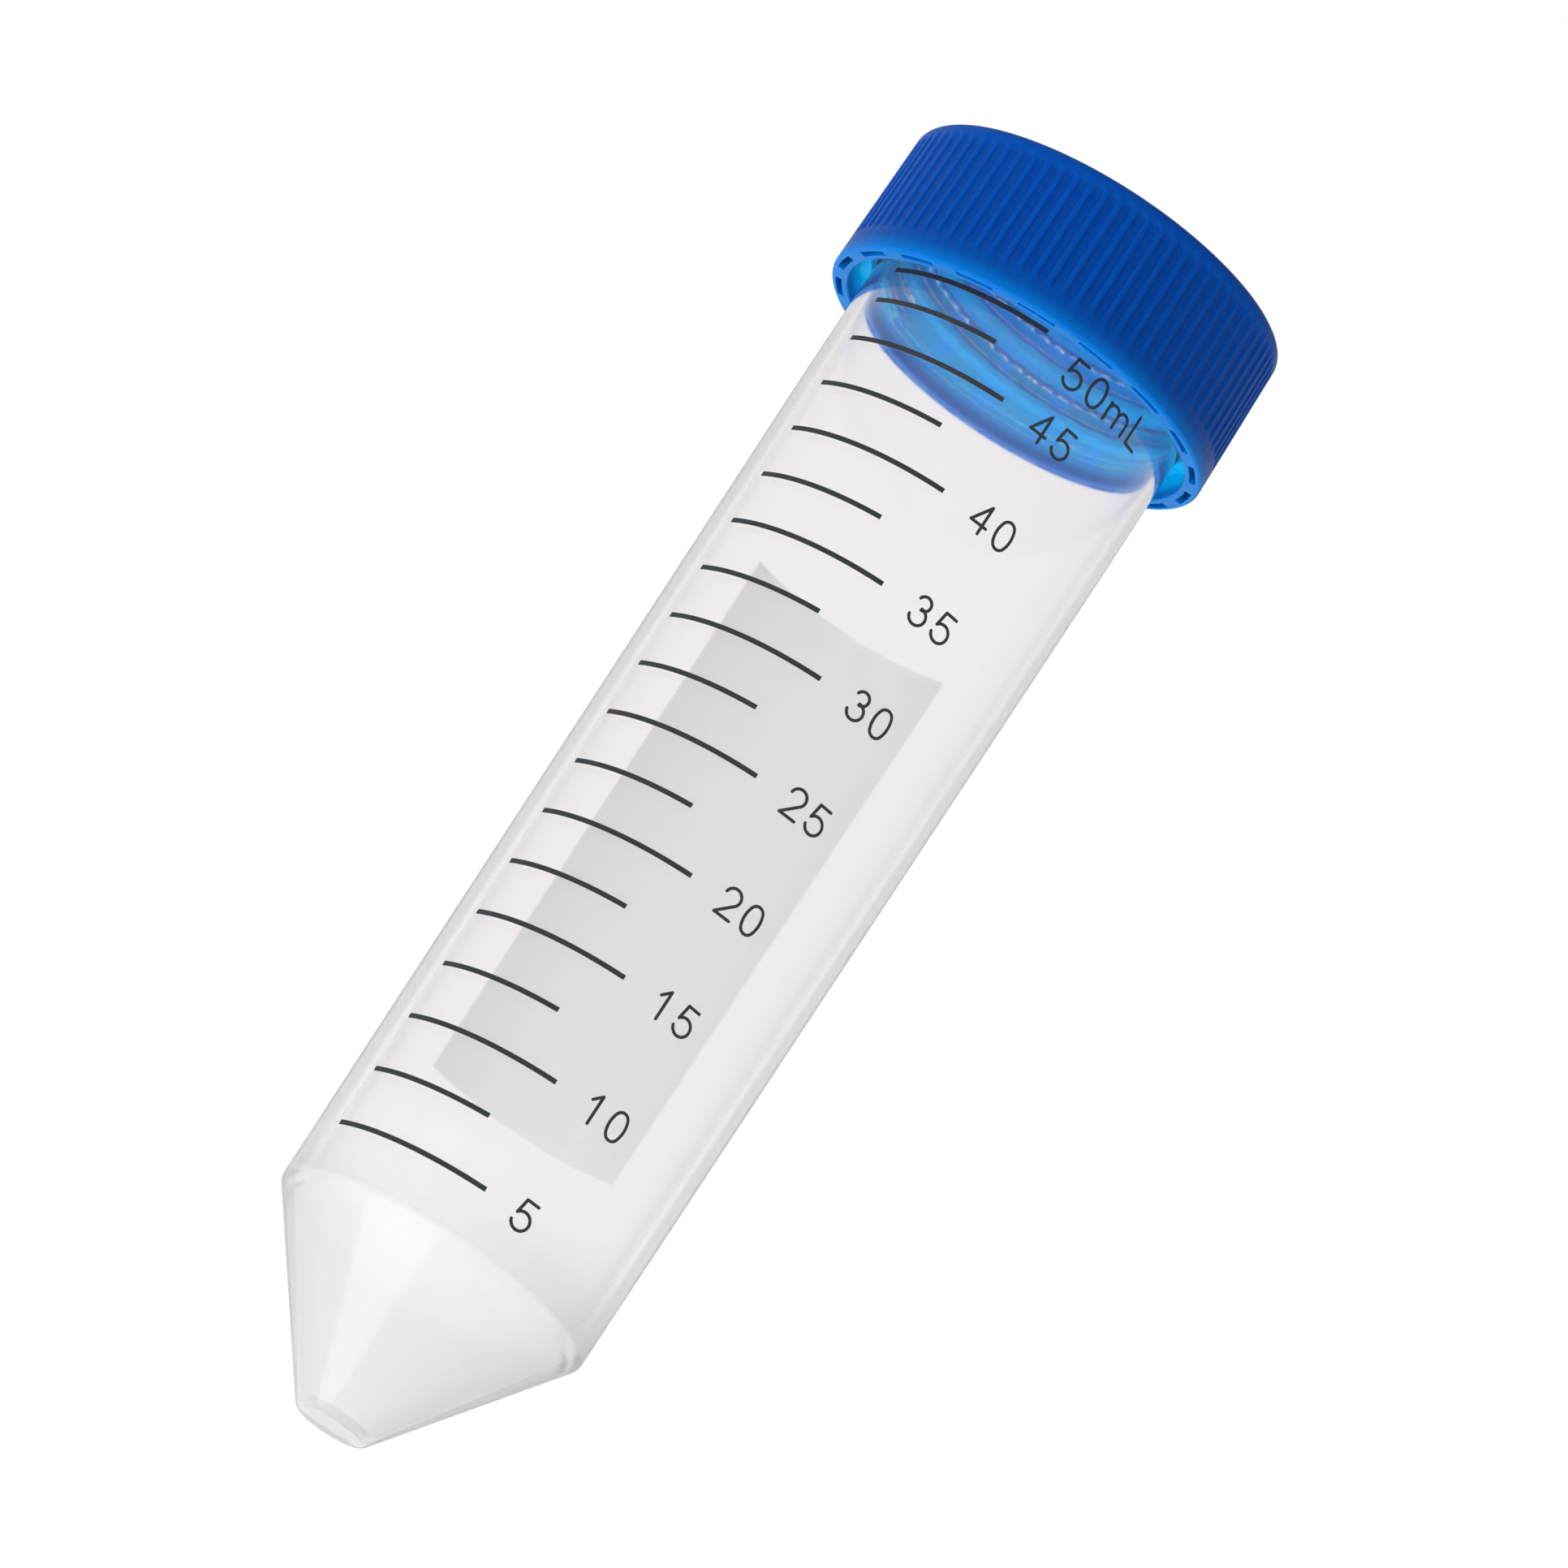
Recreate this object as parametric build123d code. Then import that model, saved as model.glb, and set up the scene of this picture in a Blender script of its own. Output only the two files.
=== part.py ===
from build123d import *
import math
import os

# A 50 mL conical-bottom screw-cap centrifuge tube.
# Millimetres and degrees. The origin is at the middle of the flat tip, and +Z runs up the axis
# towards the cap. An azimuth is measured about +Z from -Y towards +X, so the printed scale, which
# is centred near azimuth 0, faces -Y and reads upright with the cap on top.

os.makedirs("parts", exist_ok=True)

# ---- tube: one clear polypropylene moulding --------------------------------------------------
TUBE_LENGTH = 113.3       # tip to lip
TIP_R = 3.1               # small flat at the end of the cone
CONE_HALF_ANGLE = 36.0
SHOULDER_R = 13.83        # where cone and barrel meet
COLLAR_R = 14.40          # true cylinder below the cap
COLLAR_Z = 93.0           # the barrel's outer draft ends here
NECK_R = 14.25            # threaded neck, hidden in the cap
NECK_Z = 103.4
NECK_BEAD_R = 14.55       # low bead under the thread
NECK_BEAD_LOW = 0.5       # its lower edge, above the start of the neck
NECK_BEAD_HALF = 0.25
BORE_R_LOW = 12.40        # bore at the shoulder
BORE_R_TOP = 13.58        # bore at the lip
CONE_WALL = 1.0           # measured square to the cone
TIP_FLOOR = 1.2
TIP_ROUND = 0.6
SHOULDER_ROUND = 0.8
INNER_SHOULDER_ROUND = 4.0
INNER_FLOOR_ROUND = 1.2
LIP_ROUND = 0.25

# ---- two-start screw thread, right-handed ----------------------------------------------------
THREAD_STARTS = 2
THREAD_LEAD = 6.0         # rise in one full turn
THREAD_BASE_HALF = 0.60   # half width at the root
THREAD_CREST_HALF = 0.35
THREAD_ROOTED = 0.12      # how far a ridge's root is sunk into its wall
MALE_CREST_R = 15.20
MALE_Z = 105.3            # middle of the first ridge's lower end
MALE_AZIMUTH = 40.0       # where that end starts
MALE_TURNS = 1.05
FEMALE_CREST_R = 14.85
FEMALE_TURNS = 1.05
FLANK_OFFSET = 1.05       # the cap's ridge lies this far below the tube's ridge that it pulls on

# ---- cap: one polyethylene moulding with a double-walled skirt --------------------------------
CAP_RIM_Z = 102.3
CAP_TOP_Z = 115.3
CAP_RIM_R = 17.3
CAP_DRAFT = 1.2           # the skirt leans in towards the top
CAP_TOP_ROUND = 0.7
CAP_RIM_ROUND = 0.35
SKIRT_BORE_R = 15.78
SKIRT_BORE_ROUND = 0.15
PLATE_Z = 114.2           # underside of the top plate
THROAT_R = 14.95          # skirt bore above the thread, around the seal ring
THROAT_Z = 112.7
THROAT_CONE = 0.6         # height of the cone that leads up into the throat
PLUG_R = 13.18            # ring that enters the tube's mouth
PLUG_WALL = 0.9
PLUG_DEPTH = 2.4
PLUG_ROUNDS = (0.2, 0.3)  # inner and outer edge of the plug's end
GATE_R = 1.4              # moulding gate dimple in the middle of the top
GATE_DEPTH = 0.3
RIB_COUNT = 80
GROOVE_WIDTH = 1.06       # leaves thin ribs, about 0.3 mm wide
GROOVE_DEPTH = 0.14
GROOVE_START_Z = 104.5    # a plain band is left below the grooves
GROOVE_TOP_BAND = 1.1     # height of the plain band above the grooves
CUT_CLEAR = 1.0           # how far a cutting shape runs past the face that it opens
POCKET_COUNT = 18
POCKET_AZIMUTH = 15.0
POCKET_ARC = 12.0
POCKET_DEPTH = 6.5
POCKET_R = (16.27, 16.85)       # inner and outer radius at the rim
POCKET_END_R = (16.30, 16.58)   # and at the closed end

# ---- seal ring: a soft washer between the lip and the top plate -------------------------------
SEAL_R = (13.27, 14.86)
SEAL_THICKNESS = 0.80
SEAL_LIP_GAP = 0.02
SEAL_ROUND = 0.10

# ---- print: raised ink on the outside of the barrel -------------------------------------------
INK = 0.04                # ink thickness
PATCH = 0.05              # writing patch thickness
LINE_WIDTH = 0.42
LINE_AZIMUTH = -61.87     # left end of every line
LONG_ARC = 62.23          # 5 mL lines
SHORT_ARC = 50.18         # 2.5 mL lines
MARK_STEP = 2.5           # millilitres
MARK_FIRST = 5.0
MARK_LAST = 50.0
LAST_MARK_Z = 102.3       # the 50 mL line is printed low, so that the cap leaves it in view
HALF_MARK_SHARE = 0.56    # place of the 47.5 mL line between 45 and 50 mL
LAST_LABEL_DROP = 1.6     # its label is lower than its line, clear of the cap
LABEL_AZIMUTH = 11.7      # left edge of every label
DIGIT_WIDTH = 1.75
DIGIT_HEIGHT = 2.75
LETTER_GAP = 0.60
STROKE = 0.26
LABEL_BAND = (LABEL_AZIMUTH - 5, 60.0)   # azimuth and arc of the ink skin that labels are cut from
PRISM_REACH = 2.0         # a character's prism runs this far in and out of the barrel's surface
PATCH_AZIMUTH = (140.8, 222.5)
PATCH_Z = (31.1, 81.0)

# ---- derived sizes ----------------------------------------------------------------------------
CONE_SLOPE = math.tan(math.radians(CONE_HALF_ANGLE))
SHOULDER_Z = (SHOULDER_R - TIP_R) / CONE_SLOPE
INNER_SHIFT = CONE_WALL / math.cos(math.radians(CONE_HALF_ANGLE))
FLOOR_R = TIP_R + CONE_SLOPE * TIP_FLOOR - INNER_SHIFT
BORE_Z = (BORE_R_LOW - TIP_R + INNER_SHIFT) / CONE_SLOPE
BORE_DRAFT = (BORE_R_TOP - BORE_R_LOW) / (TUBE_LENGTH - BORE_Z)
CAP_SLOPE = math.tan(math.radians(CAP_DRAFT))


def on_azimuth(part, azimuth):
    """Turn a piece drawn on the +X side to an azimuth measured from -Y."""
    return Rot(0, 0, azimuth - 90) * part


def ring(points, radii=None):
    """A closed outline of (radius, height) points, turned once around the axis."""
    outline = FilletPolyline(points, radius=radii or 0, close=True)
    face = make_face(Plane.XZ * outline)
    return revolve(face, Axis.Z)


def arc_piece(points, azimuth, arc):
    """A closed outline of (radius, height) points, turned through an arc from an azimuth."""
    face = make_face(Plane.XZ * Polyline(points, close=True))
    return on_azimuth(revolve(face, Axis.Z, revolution_arc=arc), azimuth)


def outer_radius(z):
    """The barrel's outer radius at a height above the shoulder."""
    share = (min(z, COLLAR_Z) - SHOULDER_Z) / (COLLAR_Z - SHOULDER_Z)
    return SHOULDER_R + share * (COLLAR_R - SHOULDER_R)


def thread_ridges(root_r, crest_r, middle_z, azimuth, turns):
    """One helical ridge for each start, with its flanks narrowing from root to crest."""
    profile = [
        (root_r, -THREAD_BASE_HALF),
        (crest_r, -THREAD_CREST_HALF),
        (crest_r, THREAD_CREST_HALF),
        (root_r, THREAD_BASE_HALF),
    ]
    face = make_face(Plane.XZ * Polyline(profile, close=True))
    path = Helix(THREAD_LEAD, THREAD_LEAD * turns, (root_r + crest_r) / 2)
    ridge = sweep(face, path=path, is_frenet=True)
    return [
        Pos(0, 0, middle_z) * on_azimuth(ridge, azimuth + 360 * start / THREAD_STARTS)
        for start in range(THREAD_STARTS)
    ]


def fill_height(volume):
    """The height above the tip that a volume in millilitres fills the tube to."""
    cone = math.pi * (BORE_Z - TIP_FLOOR) / 3
    cone *= FLOOR_R**2 + FLOOR_R * BORE_R_LOW + BORE_R_LOW**2
    above = volume * 1000 - cone
    radius = (BORE_R_LOW**3 + 3 * BORE_DRAFT * above / math.pi) ** (1 / 3)
    return BORE_Z + (radius - BORE_R_LOW) / BORE_DRAFT


def mark_height(volume):
    """The height of a printed line: true to volume, except the last two, which end under the cap."""
    if volume <= MARK_LAST - 2 * MARK_STEP:
        return fill_height(volume)
    below = fill_height(MARK_LAST - 2 * MARK_STEP)
    share = 1.0 if volume == MARK_LAST else HALF_MARK_SHARE
    return below + share * (LAST_MARK_Z - below)


# ---- tube -------------------------------------------------------------------------------------
def make_tube():
    bead_z = NECK_Z + NECK_BEAD_LOW
    outline = [
        (0, 0, 0),
        (TIP_R, 0, TIP_ROUND),
        (SHOULDER_R, SHOULDER_Z, SHOULDER_ROUND),
        (COLLAR_R, COLLAR_Z, 0),
        (COLLAR_R, NECK_Z, 0),
        (NECK_R, NECK_Z, 0),
        (NECK_R, bead_z, 0),
        (NECK_BEAD_R, bead_z + NECK_BEAD_HALF, 0),
        (NECK_R, bead_z + 2 * NECK_BEAD_HALF, 0),
        (NECK_R, TUBE_LENGTH, LIP_ROUND),
        (BORE_R_TOP, TUBE_LENGTH, LIP_ROUND),
        (BORE_R_LOW, BORE_Z, INNER_SHOULDER_ROUND),
        (FLOOR_R, TIP_FLOOR, INNER_FLOOR_ROUND),
        (0, TIP_FLOOR, 0),
    ]
    body = ring([(r, z) for r, z, _ in outline], [rounding for _, _, rounding in outline])
    ridges = thread_ridges(NECK_R - THREAD_ROOTED, MALE_CREST_R, MALE_Z, MALE_AZIMUTH, MALE_TURNS)
    return body + ridges


# ---- cap --------------------------------------------------------------------------------------
def cap_shell():
    """The skirt, top plate and plug ring, before grooves, pockets and thread."""
    top_r = CAP_RIM_R - CAP_SLOPE * (CAP_TOP_Z - CAP_RIM_Z)
    outline = [
        (0, PLATE_Z, 0),
        (PLUG_R - PLUG_WALL, PLATE_Z, 0),
        (PLUG_R - PLUG_WALL, PLATE_Z - PLUG_DEPTH, PLUG_ROUNDS[0]),
        (PLUG_R, PLATE_Z - PLUG_DEPTH, PLUG_ROUNDS[1]),
        (PLUG_R, PLATE_Z, 0),
        (THROAT_R, PLATE_Z, 0),
        (THROAT_R, THROAT_Z + THROAT_CONE, 0),
        (SKIRT_BORE_R, THROAT_Z, 0),
        (SKIRT_BORE_R, CAP_RIM_Z, SKIRT_BORE_ROUND),
        (CAP_RIM_R, CAP_RIM_Z, CAP_RIM_ROUND),
        (top_r, CAP_TOP_Z, CAP_TOP_ROUND),
        (GATE_R, CAP_TOP_Z, 0),
        (GATE_R - GATE_DEPTH, CAP_TOP_Z - GATE_DEPTH, 0),
        (0, CAP_TOP_Z - GATE_DEPTH, 0),
    ]
    return ring([(r, z) for r, z, _ in outline], [rounding for _, _, rounding in outline])


def grooves():
    """Round-ended grooves down the skirt, which leave the grip ribs between them."""
    length = CAP_TOP_Z - GROOVE_TOP_BAND - GROOVE_START_Z
    floor_r = CAP_RIM_R - CAP_SLOPE * (GROOVE_START_Z - CAP_RIM_Z) - GROOVE_DEPTH
    slot = Pos(0, length / 2) * SlotOverall(length, GROOVE_WIDTH, rotation=90)
    tool = extrude(slot, amount=CUT_CLEAR)
    lean = Plane(
        origin=(floor_r, 0, GROOVE_START_Z),
        x_dir=(0, 1, 0),
        z_dir=(1, 0, CAP_SLOPE),
    )
    upright = lean * tool
    return [on_azimuth(upright, 360 * i / RIB_COUNT) for i in range(RIB_COUNT)]


def pockets():
    """Narrow arc pockets up into the rim, which make the skirt double-walled."""
    profile = [
        (POCKET_R[0], CAP_RIM_Z - CUT_CLEAR),
        (POCKET_R[1], CAP_RIM_Z - CUT_CLEAR),
        (POCKET_R[1], CAP_RIM_Z),
        (POCKET_END_R[1], CAP_RIM_Z + POCKET_DEPTH),
        (POCKET_END_R[0], CAP_RIM_Z + POCKET_DEPTH),
        (POCKET_R[0], CAP_RIM_Z),
    ]
    first = POCKET_AZIMUTH - POCKET_ARC / 2
    step = 360 / POCKET_COUNT
    return [arc_piece(profile, first + step * i, POCKET_ARC) for i in range(POCKET_COUNT)]


def make_cap():
    ridges = thread_ridges(
        SKIRT_BORE_R + THREAD_ROOTED,
        FEMALE_CREST_R,
        MALE_Z - FLANK_OFFSET,
        MALE_AZIMUTH,
        FEMALE_TURNS,
    )
    return cap_shell() - grooves() - pockets() + ridges


# ---- seal ring --------------------------------------------------------------------------------
def make_seal():
    low = TUBE_LENGTH + SEAL_LIP_GAP
    high = low + SEAL_THICKNESS
    corners = [(SEAL_R[0], low), (SEAL_R[1], low), (SEAL_R[1], high), (SEAL_R[0], high)]
    return ring(corners, [SEAL_ROUND] * len(corners))


# ---- printed lines and writing patch ----------------------------------------------------------
def skin(low, high, thickness, azimuth, arc):
    """A thin skin on the outside of the barrel between two heights."""
    steps = [low, *[z for z in (COLLAR_Z,) if low < z < high], high]
    inner = [(outer_radius(z), z) for z in steps]
    outer = [(r + thickness, z) for r, z in reversed(inner)]
    return arc_piece(inner + outer, azimuth, arc)


def make_line(volume):
    z = mark_height(volume)
    arc = LONG_ARC if volume % (2 * MARK_STEP) == 0 else SHORT_ARC
    return skin(z - LINE_WIDTH / 2, z + LINE_WIDTH / 2, INK, LINE_AZIMUTH, arc)


def make_patch():
    return skin(*PATCH_Z, PATCH, PATCH_AZIMUTH[0], PATCH_AZIMUTH[1] - PATCH_AZIMUTH[0])


# ---- lettering: single pen strokes, in a cell that starts at (0, 0) ---------------------------
PEN_WIDTH = DIGIT_WIDTH - STROKE      # width of a digit's pen path
PEN_HEIGHT = DIGIT_HEIGHT - STROKE
SMALL_HEIGHT = 0.64 * PEN_HEIGHT      # height of the small letter m
STEM_PITCH = 1.18                     # between the three stems of the m
FOOT_WIDTH = 0.88 * PEN_WIDTH         # foot of the L
OVAL_END_R = 0.62                     # pen path radii: the ends of the 0
LARGE_BOWL_R = 0.72                   # the top of the 2 and the bottom of the 3
SMALL_BOWL_R = 0.585                  # the top of the 3
FIVE_BOWL_R = 0.78                    # the bowl of the 5


def pen_arc(centre, radius, start, sweep_angle):
    """Part of a circle, from a start angle through a counter-clockwise sweep."""
    return CenterArc(centre, radius, start, arc_size=sweep_angle)


def glyph_0():
    """An oval of four tangent arcs, as wide and high as the cell."""
    half_w, half_h = PEN_WIDTH / 2, PEN_HEIGHT / 2
    rise = half_h - OVAL_END_R
    side_r = (half_w**2 + rise**2 - OVAL_END_R**2) / (2 * (half_w - OVAL_END_R))
    turn = math.degrees(math.atan2(rise, side_r - half_w))
    oval = [
        pen_arc((2 * half_w - side_r, half_h), side_r, -turn, 2 * turn),
        pen_arc((half_w, half_h + rise), OVAL_END_R, turn, 180 - 2 * turn),
        pen_arc((side_r, half_h), side_r, 180 - turn, 2 * turn),
        pen_arc((half_w, half_h - rise), OVAL_END_R, 180 + turn, 180 - 2 * turn),
    ]
    return [Curve() + oval]


def glyph_1():
    """A short flag up to the head of a stem."""
    stem = 0.58 * PEN_WIDTH
    flag = (0.15 * PEN_WIDTH, 0.73 * PEN_HEIGHT)
    return [Polyline(flag, (stem, PEN_HEIGHT), (stem, 0))]


def glyph_2():
    """A bowl that runs down to a flat foot."""
    bowl = pen_arc((PEN_WIDTH / 2, PEN_HEIGHT - LARGE_BOWL_R), LARGE_BOWL_R, -44, 214)
    foot = Polyline(bowl @ 0, (0, 0), (PEN_WIDTH, 0))
    return [bowl, foot]


def glyph_3():
    """Two bowls, one on the other."""
    upper = pen_arc((0.47 * PEN_WIDTH, PEN_HEIGHT - SMALL_BOWL_R), SMALL_BOWL_R, -90, 250)
    lower = pen_arc((0.49 * PEN_WIDTH, LARGE_BOWL_R), LARGE_BOWL_R, -168, 258)
    return [upper, lower]


def glyph_4():
    """A full stem, crossed by the foot of a slanted arm."""
    stem = 0.74 * PEN_WIDTH
    bar = 0.29 * PEN_HEIGHT
    arm = Polyline((stem, PEN_HEIGHT), (0, bar), (PEN_WIDTH, bar))
    return [Line((stem, 0), (stem, PEN_HEIGHT)), arm]


def glyph_5():
    """A bowl, with its neck running up into the top bar."""
    bowl = pen_arc((PEN_WIDTH - FIVE_BOWL_R, FIVE_BOWL_R), FIVE_BOWL_R, -162, 305)
    left, right = 0.20 * PEN_WIDTH, 0.92 * PEN_WIDTH
    return [bowl, Polyline((right, PEN_HEIGHT), (left, PEN_HEIGHT), bowl @ 1)]


def glyph_m():
    """Three stems, joined by two half-round arches."""
    strokes = [Line((0, 0), (0, SMALL_HEIGHT))]
    arch_r = STEM_PITCH / 2
    for i in (0, 1):
        right = STEM_PITCH * (i + 1)
        strokes.append(pen_arc((right - arch_r, SMALL_HEIGHT - arch_r), arch_r, 0, 180))
        strokes.append(Line((right, 0), (right, SMALL_HEIGHT - arch_r)))
    return strokes


def glyph_l():
    """A capital L."""
    return [Polyline((0, PEN_HEIGHT), (0, 0), (FOOT_WIDTH, 0))]


GLYPHS = {
    "0": (glyph_0, DIGIT_WIDTH),
    "1": (glyph_1, DIGIT_WIDTH),
    "2": (glyph_2, DIGIT_WIDTH),
    "3": (glyph_3, DIGIT_WIDTH),
    "4": (glyph_4, DIGIT_WIDTH),
    "5": (glyph_5, DIGIT_WIDTH),
    "m": (glyph_m, 2 * STEM_PITCH + STROKE),
    "L": (glyph_l, FOOT_WIDTH + STROKE),
}


def stroke_face(path):
    """The area that a round pen covers along a path."""
    wire = Wire(path.edges())
    if wire.is_closed:
        outside = Face(Wire(wire.offset_2d(STROKE / 2).edges()))
        inside = Face(Wire(wire.offset_2d(-STROKE / 2).edges()))
        return outside - inside
    return Face(Wire(wire.offset_2d(STROKE / 2).edges()))


def make_label(text, z):
    """Each character is projected straight out onto its own place on the barrel, and inked there."""
    shell = skin(z - DIGIT_HEIGHT, z + DIGIT_HEIGHT, INK, *LABEL_BAND)
    radius = outer_radius(z)
    left = math.radians(LABEL_AZIMUTH) * radius
    solids = []
    for character in text:
        draw, width = GLYPHS[character]
        azimuth = (left + width / 2) / radius
        outward = (math.sin(azimuth), -math.cos(azimuth), 0)
        along = (math.cos(azimuth), math.sin(azimuth), 0)
        depth = radius - PRISM_REACH
        inside = (outward[0] * depth, outward[1] * depth, z)
        place = Plane(origin=inside, x_dir=along, z_dir=outward)
        shift = Pos((STROKE - width) / 2, -PEN_HEIGHT / 2)
        face = stroke_face(draw()[0])
        for path in draw()[1:]:
            face = face + stroke_face(path)
        prism = extrude(place * shift * face, amount=2 * PRISM_REACH)
        solids += (prism & shell).solids()
        left += width + LETTER_GAP
    return Compound(children=solids)


# ---- write every piece ------------------------------------------------------------------------
def node_number(volume):
    return f"{volume:04.1f}".replace(".", "_")


def make_parts():
    parts = {
        "tube_body": make_tube(),
        "screw_cap": make_cap(),
        "seal_ring": make_seal(),
        "writing_patch": make_patch(),
    }
    count = round((MARK_LAST - MARK_FIRST) / MARK_STEP) + 1
    for volume in [MARK_FIRST + MARK_STEP * i for i in range(count)]:
        parts[f"scale_line_{node_number(volume)}_ml"] = make_line(volume)
        if volume % (2 * MARK_STEP) == 0:
            last = volume == MARK_LAST
            text = f"{volume:.0f}" + ("mL" if last else "")
            height = mark_height(volume) - (LAST_LABEL_DROP if last else 0)
            parts[f"scale_number_{volume:02.0f}"] = make_label(text, height)
    return parts


for name, shape in make_parts().items():
    shape.label = name
    export_step(shape, f"parts/{name}.step")
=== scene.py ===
import math

import bmesh
import bpy
from mathutils import Matrix, Vector


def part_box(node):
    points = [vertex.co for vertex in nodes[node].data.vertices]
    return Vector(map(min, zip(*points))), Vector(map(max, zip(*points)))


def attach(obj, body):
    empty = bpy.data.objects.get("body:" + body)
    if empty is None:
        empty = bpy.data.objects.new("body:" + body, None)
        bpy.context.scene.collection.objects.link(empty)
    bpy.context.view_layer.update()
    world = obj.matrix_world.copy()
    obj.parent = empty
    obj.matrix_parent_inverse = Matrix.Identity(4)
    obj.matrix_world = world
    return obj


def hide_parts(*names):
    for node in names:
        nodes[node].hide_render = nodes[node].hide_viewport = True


# The looks of a 50 mL conical screw-cap tube: clear moulded polypropylene, a blue ribbed cap, a black
# printed scale and a pale writing patch. Sizes are millimetres until MM turns them into metres. An
# azimuth is measured about +Z from -Y towards +X, in degrees.

MM = 0.001

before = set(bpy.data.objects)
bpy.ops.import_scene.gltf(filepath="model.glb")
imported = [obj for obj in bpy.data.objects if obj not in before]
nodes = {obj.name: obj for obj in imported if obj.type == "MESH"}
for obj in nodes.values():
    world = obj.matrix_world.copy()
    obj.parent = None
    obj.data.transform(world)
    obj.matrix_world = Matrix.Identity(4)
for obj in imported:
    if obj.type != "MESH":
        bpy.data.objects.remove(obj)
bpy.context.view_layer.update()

# ---- driving sizes of the two mouldings -------------------------------------------------------
TUBE_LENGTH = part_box("tube_body")[1].z / MM
TIP_R = 3.1
CONE_HALF_ANGLE = 36.0
SHOULDER_R = 13.83
COLLAR_R = 14.40
COLLAR_Z = 93.0
NECK_R = 14.25
NECK_Z = 103.4
NECK_BEAD_R = 14.55
NECK_BEAD_LOW = 0.5
NECK_BEAD_HALF = 0.25
BORE_R_LOW = 12.40
BORE_R_TOP = 13.58
CONE_WALL = 1.0              # measured square to the cone
TIP_FLOOR = 1.2
TIP_ROUND = 0.6
SHOULDER_ROUND = 0.8
INNER_SHOULDER_ROUND = 4.0
INNER_FLOOR_ROUND = 1.2
LIP_ROUND = 0.25
COLLAR_STEP_ROUND = 0.06

THREAD_STARTS = 2
THREAD_LEAD = 6.0
THREAD_BASE_HALF = 0.60
THREAD_CREST_HALF = 0.35
THREAD_AZIMUTH = 40.0        # where the first ridge starts, on the tube and in the cap
THREAD_TURNS = 1.05
THREAD_TAPER = 0.04          # part of a turn over which a ridge fades at each end
MALE_CREST_R = 15.20
MALE_Z = 105.3               # height of the tube's ridges at their lower end
FEMALE_CREST_R = 14.85
FLANK_OFFSET = 1.05          # the cap's ridges run this far below the tube's, which hold them down
FEMALE_Z = MALE_Z - FLANK_OFFSET
NECK_ROW = 0.1               # height of a mesh row over the tube's thread
THREAD_ROW = 0.2             # height of a mesh row over the cap's thread

CAP_RIM_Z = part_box("screw_cap")[0].z / MM
CAP_TOP_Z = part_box("screw_cap")[1].z / MM
CAP_RIM_R = 17.3
CAP_DRAFT = 1.2              # the skirt leans in towards the top, in degrees
CAP_SLOPE = math.tan(math.radians(CAP_DRAFT))
CAP_TOP_ROUND = 0.7
CAP_RIM_ROUND = 0.35
SKIRT_BORE_R = 15.78
SKIRT_BORE_ROUND = 0.15
PLATE_Z = 114.2              # underside of the top plate
THROAT_R = 14.95             # skirt bore above the thread, around the seal ring
THROAT_Z = 112.7
THROAT_CONE = 0.6
PLUG_R = 13.18
PLUG_WALL = 0.9
PLUG_DEPTH = 2.4
PLUG_ROUNDS = (0.2, 0.3)
GATE_R = 1.4
GATE_DEPTH = 0.3
RIB_COUNT = 80
GROOVE_HALF = 0.53           # half the width of a groove
GROOVE_DEPTH = 0.14
GROOVE_WALL = 0.20           # how far in from its edge a groove reaches full depth
GROOVE_START_Z = 104.5
GROOVE_TOP_BAND = 1.1        # height of the plain band above the grooves
GROOVE_END_Z = CAP_TOP_Z - GROOVE_TOP_BAND
GROOVE_ROW = 0.2             # height of a mesh row over a groove's round end
POCKET_COUNT = 18
POCKET_AZIMUTH = 15.0        # middle of the first pocket
POCKET_ARC = 12.0            # degrees that a pocket spans
POCKET_DEPTH = 6.5
POCKET_R = (16.27, 16.85)    # inner and outer wall of a pocket at the rim
POCKET_END_R = (16.30, 16.58)  # the same at its closed end

TUBE_COLUMNS = 360
ARC_STEPS = 6                # mesh rows round each rounded corner
LONG_ROW = 6.0               # longest mesh row on a straight wall
SHARP_ANGLE = math.radians(38)  # an edge that bends more than this is shaded as a sharp one
NOISE_DETAIL = 3.0           # finer layers in the noise of every material
FROST_Z = (13.5, 24.0)       # heights over which the milky cone clears into the polished barrel
GROOVE_FADE = 1.2            # height over which a groove's painted shade, its darker colour, fades at each end
INNER_PALE_RISE = 2.0        # height above the rim at which the painted glow on the inner skirt is at its palest
PALE_FADE = 0.1              # distance over which that painted glow ends at a wall
RIM_GLOW_RISE = 1.9          # height up to which the rim gets a paler colour, painted light
RIM_GLOW = 0.22              # how much of that painted glow the rim gets, next to the inner skirt
PATCH_GLOW = 0.75            # share of light that the thin patch passes on, not back
CREST_HIGHLIGHT_DEPTH = 0.08            # how far below a rib's crest its painted highlight, a paler colour, reaches
SKIN_DEPTH = (0.28, 0.42)    # depths below the ribs over which the outside's colours end

# ---- camera and stage, in metres and degrees --------------------------------------------------
CAMERA_DISTANCE = 0.922
CAMERA_ELEVATION = -16.44
CAMERA_PIVOT_Z = 0.0636      # the height that distance and elevation are measured from
CAMERA_AIM = (0.00222, 0.0, 0.06359)
CAMERA_ROLL = 33.194
CAMERA_LENS = 267.6          # millimetres, on the sensor below
CAMERA_SENSOR = 36.0
CAMERA_CLIP = (0.05, 50.0)
LAMP_AIM = (0.0, 0.0, 0.06)
FLOOR_Z = -1.2
FLOOR_HALF = 6.0
FLOOR_GLOW = 0.65            # lifts the floor to the pale tone of a lit studio
AMBIENT = 0.28               # surround as diffuse surfaces see it
SURROUND = {"Is Glossy Ray": 0.55, "Is Transmission Ray": 0.99, "Is Camera Ray": 1.0}
PANELS = 8                   # white panels round the part, the first straight behind it
PANEL_GAP = 0.80             # brightness between two panels
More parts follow.
